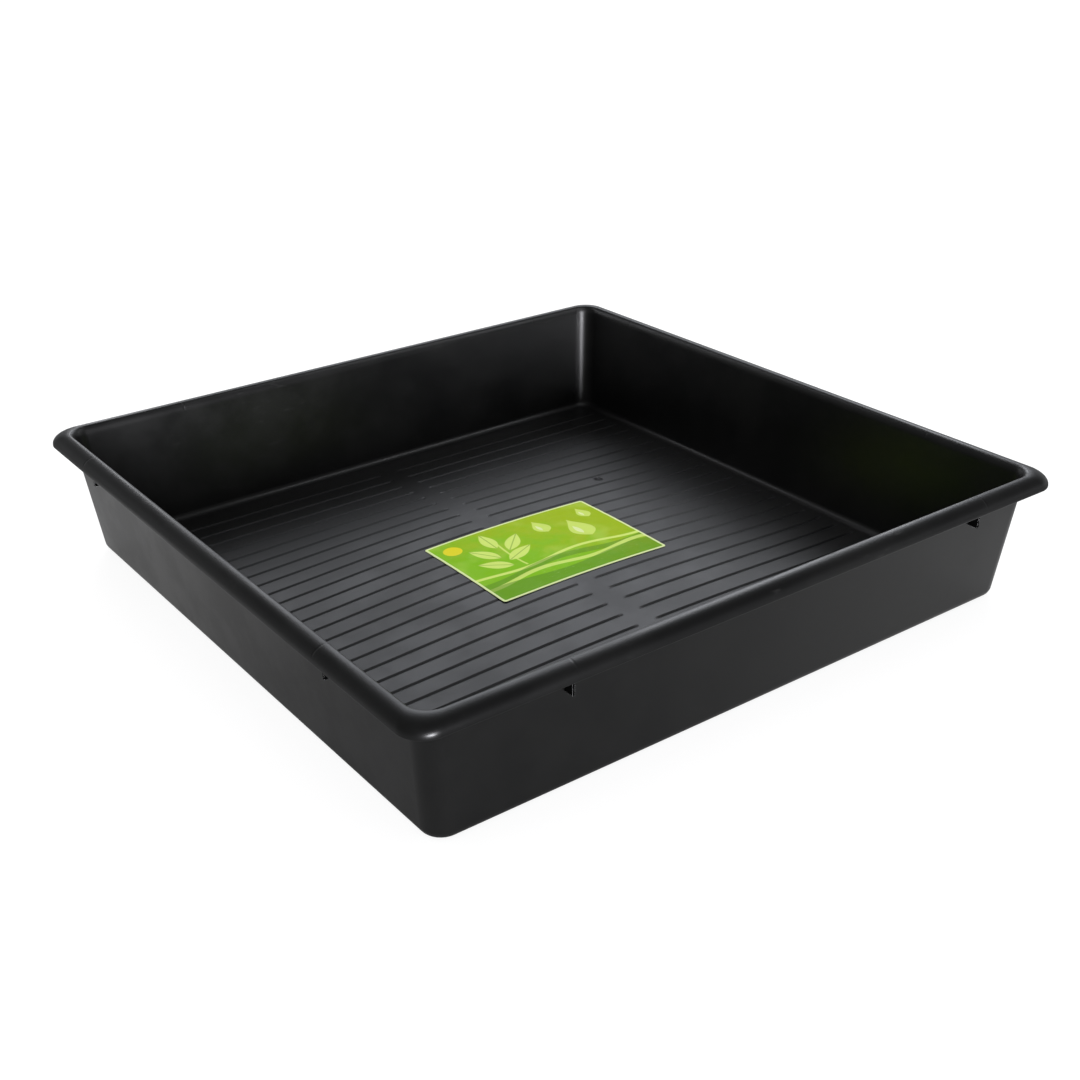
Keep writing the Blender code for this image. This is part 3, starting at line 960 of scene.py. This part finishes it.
printForm = {
    "edge": 0.0005,  # softness of the printed outlines
    "waveEdge": 0.0006,
    "veinEdge": (0.0003, 0.0009),
    "leafTaper": 0.25,
    "leafShare": 0.9,
    "veinShare": 0.55,
    "dropTaper": 0.75,
    "dropShare": 0.75,
    "glintTaper": 0.2,
    "glintShare": 0.85,
    "glintPlace": (0.35, 0.2),  # off the drop's middle, as shares of its width and length
    "glintSize": (0.45, 0.28),
    "stemMiddle": -0.0400,
    "stemBend": 3.0,
    "stemEdge": (0.0008, 0.0014),
    "stemFoot": (-0.024, -0.022),
    "stemTip": (0.030, 0.034),
    "stemShare": 0.8,
    "discMiddle": (-0.0800, 0.0480, 0.0),
    "discEdge": (0.0095, 0.0101),
}


# One pointed leaf or one drop, with the line down its middle
def petalGroup():
    inputs = sockets("Vector", "Centre") + sockets("Float", *petalInputs)
    tree, source, result = newShaderGroup("petalMask", inputs, "Mask", "Vein")
    op = partial(calc, tree)
    moved = vectorCalc(tree, "SUBTRACT", source["Vector"], source["Centre"])[0]
    turned = addNode(tree, "ShaderNodeVectorRotate", {
        "Vector": moved, "Angle": op("MULTIPLY", source["Angle"], -1.0)}, rotation_type="Z_AXIS").outputs[0]
    parts = splitXYZ(tree, turned)
    along = op("DIVIDE", parts["X"], source["Length"])
    across = op("ABSOLUTE", parts["Y"])
    swell = op("MAXIMUM", op("SUBTRACT", 1.0, op("MULTIPLY", along, along)), 0.0)
    narrowing = op("SUBTRACT", 1.0, op("MULTIPLY", along, source["Taper"]))
    half = op("MULTIPLY", op("MULTIPLY", swell, narrowing), source["Width"])
    mask = smooth(tree, op("SUBTRACT", half, across), 0.0, printForm["edge"])
    vein = op("MULTIPLY", smooth(tree, across, *printForm["veinEdge"], 1.0, 0.0), mask)
    plug(tree, result, {"Mask": mask, "Vein": vein})
    return tree


# Band between a wavy upper line and the same line lower down
def waveGroup():
    tree, source, result = newShaderGroup("waveBand", sockets("Float", *waveInputs), "Mask")
    op = partial(calc, tree)
    parts = splitXYZ(tree, source["Vector"])
    phase = op("MULTIPLY_ADD", parts["X"], source["Waves"], source["Shift"])
    line = op("MULTIPLY_ADD", op("SINE", phase), source["Swing"], source["Level"])
    under = op("SUBTRACT", line, parts["Y"])
    upper = smooth(tree, under, 0.0, printForm["waveEdge"])
    lower = smooth(tree, op("SUBTRACT", source["Depth"], under), 0.0, printForm["waveEdge"])
    plug(tree, result, {"Mask": op("MULTIPLY", upper, lower)})
    return tree


def placePetal(tree, petal, centred, x, y, *shape):
    return placeGroup(tree, petal, {
        "Vector": centred, "Centre": (x, y, 0.0), **dict(zip(petalInputs, shape))})


# Lays a tint over the label's colour as far as the mask and the share allow
def overprint(tree, colour, mask, share, tint):
    return blend(tree, calc(tree, "MULTIPLY", mask, share), colour, labelFinish[tint])


# Ground: lime to yellow-green, cloudy as printed leaves would be
def printGround(tree, centred, parts):
    paint = labelFinish
    op = partial(calc, tree)
    alongDrift, acrossDrift = paint["drift"]
    drift = op("ADD", op("MULTIPLY", parts["X"], alongDrift), op("MULTIPLY", parts["Y"], acrossDrift))
    clouds = op("ADD", drift, noise(tree, centred, paint["cloudScale"], 3.0, 0.6))
    colour = blend(tree, smooth(tree, clouds, *paint["cloudRange"]), paint["lime"], paint["yellowGreen"])
    glow = smooth(tree, noise(tree, centred, paint["glowScale"]), *paint["glowRange"])
    return overprint(tree, colour, glow, paint["glowShare"], "paleGreen")


def printWaves(tree, centred, colour):
    wave = waveGroup()
    for *shape, share, tint in labelWaves:
        band = placeGroup(tree, wave, {"Vector": centred, **dict(zip(waveInputs, shape))})
        colour = overprint(tree, colour, band["Mask"], share, tint)
    return colour


# Sprig: a stem, then leaves with a darker line down the middle
def printSprig(tree, centred, parts, petal, colour):
    form = printForm
    op = partial(calc, tree)
    stem = op("MULTIPLY_ADD", op("MULTIPLY", parts["Y"], parts["Y"]), form["stemBend"], form["stemMiddle"])
    offStem = op("ABSOLUTE", op("SUBTRACT", parts["X"], stem))
    within = op("MULTIPLY", smooth(tree, parts["Y"], *form["stemFoot"]),
                smooth(tree, parts["Y"], *form["stemTip"], 1.0, 0.0))
    stemMask = op("MULTIPLY", smooth(tree, offStem, *form["stemEdge"], 1.0, 0.0), within)
    colour = overprint(tree, colour, stemMask, form["stemShare"], "paleGreen")
    for facts in labelLeaves:
        leaf = placePetal(tree, petal, centred, *facts, form["leafTaper"])
        colour = overprint(tree, colour, leaf["Mask"], form["leafShare"], "paleGreen")
        colour = overprint(tree, colour, leaf["Vein"], form["veinShare"], "deepGreen")
    return colour


# Drops over the waves, each with a glint, and a small yellow disc
def printDrops(tree, centred, petal, colour):
    form = printForm
    side, down = form["glintPlace"]
    long, wide = form["glintSize"]
    for x, y, angle, length, width in labelDrops:
        drop = placePetal(tree, petal, centred, x, y, angle, length, width, form["dropTaper"])
        glint = placePetal(tree, petal, centred, x - width * side, y - length * down, angle,
                           length * long, width * wide, form["glintTaper"])
        colour = overprint(tree, colour, drop["Mask"], form["dropShare"], "paleGreen")
        colour = overprint(tree, colour, glint["Mask"], form["glintShare"], "border")
    fromDisc = vectorCalc(tree, "DISTANCE", centred, form["discMiddle"])["Value"]
    return blend(tree, smooth(tree, fromDisc, *form["discEdge"], 1.0, 0.0), colour, labelFinish["yellow"])


def printBorder(tree, parts, colour):
    paint = labelFinish
    op = partial(calc, tree)
    fromSide = op("SUBTRACT", labelHalfX, op("ABSOLUTE", parts["X"]))
    fromEdge = op("SUBTRACT", labelHalfY, op("ABSOLUTE", parts["Y"]))
    nearest = op("SMOOTH_MIN", fromSide, fromEdge, paint["borderRound"])
    inner, outer = paint["borderSoft"]
    border = smooth(tree, nearest, paint["borderWidth"] - inner, paint["borderWidth"] + outer, 1.0, 0.0)
    return overprint(tree, colour, border, paint["borderShare"], "border")


def labelMaterial(grain, wear):
    paint = labelFinish
    material, tree, shader, spot = newMaterial("labelPrint", paint["lime"])
    op = partial(calc, tree)
    centred = centredOn(tree, spot, labelMiddle.x, labelMiddle.y)
    parts = splitXYZ(tree, centred)
    petal = petalGroup()
    colour = printGround(tree, centred, parts)
    colour = printWaves(tree, centred, colour)
    colour = printSprig(tree, centred, parts, petal, colour)
    colour = printDrops(tree, centred, petal, colour)
    colour = printBorder(tree, parts, colour)

    # Faint dots of the print, and scuffs over everything
    surface, scuffs = placeEffects(tree, grain, wear, centred, paint)
    colour = overprint(tree, colour, surface["Height"], paint["dotShare"], "deepGreen")
    colour = overprint(tree, colour, scuffs, paint["scuffShare"], "border")

    rough = smooth(tree, surface["Mottle"], 0.0, 1.0, paint["smoothest"], paint["roughest"])
    rough = op("ADD", rough, op("MULTIPLY", scuffs, paint["wornRougher"]))
    ripple = noise(tree, centred, paint["rippleScale"], 1.0)
    normal = raised(tree, ripple, paint["rippleStrength"], paint["rippleDepth"])
    normal = raised(tree, surface["Height"], paint["dotStrength"], paint["dotDepth"], normal)
    plug(tree, shader, {"Base Color": colour, "Roughness": rough, "Specular IOR Level": paint["shine"],
                        "Normal": normal})
    return material


# Studio: a pale floor, which also glows as painted light close round the tray where only reflections see it,
# a white surround, a large lamp behind, a low one in front and two strips above

studio = {
    "floorSize": 14.0,
    "floorColour": (0.26, 0.26, 0.26, 1.0),
    "floorRoughness": 0.9,
    "floorLift": 0.84,  # seen by the camera
    "frontPaintedGlow": 0.08,  # painted glow of the floor, seen only in reflections close round the tray, near its front corner
    "backPaintedGlow": 0.37,  # the same painted glow farther back
    "paintedGlowRange": (-0.40, 0.0),  # places along the tray's diagonal between which one grows into the other
    "paintedGlowEnd": 0.20,  # distance from the tray at which that has faded away
    "surroundLight": (0.80, 0.80, 0.80, 1.0),
    "horizon": (0.60, 0.61, 0.63, 1.0),  # of the surround behind the tray, as it shows in reflections
    "nearHorizon": (0.15, 0.15, 0.15, 1.0),
    "horizonTowards": (0.83, 0.56, 0.0),
    "horizonRange": (-0.2, 0.6),
    "overhead": (0.10, 0.10, 0.10, 1.0),
    "dimRange": (0.08, 0.45),  # heights of a ray's direction between which the surround grows dim
    "white": (1.0, 1.0, 1.0, 1.0),
}

# Lamps: place, width and height, power and colour
studioLamps = {
    "keyLamp": ((3.43, 3.81, 3.66), (4.4, 3.0), 124.0, (0.90, 0.93, 1.0)),
    "rightStrip": ((0.36, 0.0, 0.50), (0.10, 0.60), 0.80, (0.95, 0.96, 1.0)),
    "backStrip": ((-0.10, 0.69, 0.50), (0.10, 0.70), 0.70, (0.95, 0.96, 1.0)),
    "fillLamp": ((-1.0, -3.6, 0.45), (1.1, 0.5), 150.0, (0.95, 0.95, 1.0)),
}


def seenRays(tree):
    path = tree.nodes.new("ShaderNodeLightPath").outputs
    mirrored = calc(tree, "MAXIMUM", path["Is Glossy Ray"], path["Is Transmission Ray"])
    return path["Is Camera Ray"], mirrored


def buildFloor():
    mesh = bpy.data.meshes.new("studioFloor")
    half = studio["floorSize"] / 2
    corners = [(-half, -half, 0), (half, -half, 0), (half, half, 0), (-half, half, 0)]
    mesh.from_pydata(corners, [], [(0, 1, 2, 3)])
    floor = newObject("studioFloor", mesh)
    material, tree, shader, spot = newMaterial("studioFloor", studio["floorColour"])
    op = partial(calc, tree)
    camera, mirrored = seenRays(tree)
    parts = splitXYZ(tree, spot)
    outX = op("SUBTRACT", op("ABSOLUTE", parts["X"]), halfLength)
    outY = op("SUBTRACT", op("ABSOLUTE", parts["Y"]), halfWidth)
    glowNearTray = smooth(tree, op("MAXIMUM", outX, outY), studio["paintedGlowEnd"] / 2, studio["paintedGlowEnd"], 1.0, 0.0)
    diagonal = op("MULTIPLY", op("ADD", parts["X"], parts["Y"]), math.sqrt(0.5))
    strength = smooth(tree, diagonal, *studio["paintedGlowRange"], studio["frontPaintedGlow"], studio["backPaintedGlow"])
    # Painted glow: the floor emits extra light seen only in reflections, close round the tray and stronger
    # behind it
    shine = op("MULTIPLY", op("MULTIPLY", mirrored, strength), glowNearTray)
    plug(tree, shader, {
        "Base Color": studio["floorColour"], "Roughness": studio["floorRoughness"],
        "Specular IOR Level": 0.0, "Emission Color": studio["white"],
        "Emission Strength": op("MULTIPLY_ADD", camera, studio["floorLift"], shine)})
    mesh.materials.append(material)


def buildSurround():
    world = bpy.data.worlds.new("studioSurround")
    world.use_nodes = True
    tree = world.node_tree
    tree.nodes.clear()
    camera, mirrored = seenRays(tree)
    direction = tree.nodes.new("ShaderNodeTexCoord").outputs["Generated"]
    dimming = smooth(tree, splitXYZ(tree, direction)["Z"], *studio["dimRange"])
    behind = vectorCalc(tree, "DOT_PRODUCT", direction, studio["horizonTowards"])["Value"]
    horizon = blend(tree, smooth(tree, behind, *studio["horizonRange"]), studio["nearHorizon"],
                    studio["horizon"])
    shown = blend(tree, dimming, horizon, studio["overhead"])
    colour = blend(tree, mirrored, studio["surroundLight"], shown)
    colour = blend(tree, camera, colour, studio["white"])
    backdrop = addNode(tree, "ShaderNodeBackground", {"Color": colour, "Strength": 1.0})
    addNode(tree, "ShaderNodeOutputWorld", {"Surface": backdrop.outputs[0]})
    bpy.context.scene.world = world


# An area lamp that faces the middle of the tray and isn't seen by the camera itself
def addLamp(name, spot, size, power, colour):
    lamp = bpy.data.lights.new(name, "AREA")
    lamp.shape = "RECTANGLE"
    lamp.size, lamp.size_y = size
    lamp.energy = power
    lamp.color = colour
    holder = newObject(name, lamp)
    holder.location = spot
    holder.rotation_euler = Vector(spot).to_track_quat("Z", "Y").to_euler()
    holder.visible_camera = False


bpy.context.scene.view_settings.view_transform = "Standard"
placeCamera()
buildSurround()
buildFloor()
for lampName, lampFacts in studioLamps.items():
    addLamp(lampName, *lampFacts)
print("camera, floor and lamps ready")

grainEffect = fineGrainGroup()
wearEffect = handlingWearGroup()
plastic = plasticMaterial("trayPlastic", grainEffect, wearEffect, plasticFinish["shine"])
# Shaded copy of the plastic for the ribs: nearly no shine, so they render dark as painted shade under the
# rim
shadedRibPlastic = plasticMaterial("ribPlastic", grainEffect, wearEffect, plasticFinish["ribsShadedShine"],
                              plasticFinish["ribsRougher"])
film = labelMaterial(grainEffect, wearEffect)
print("materials ready")

buildTray(plastic)
buildRibs(shadedRibPlastic)
buildLabel(film)
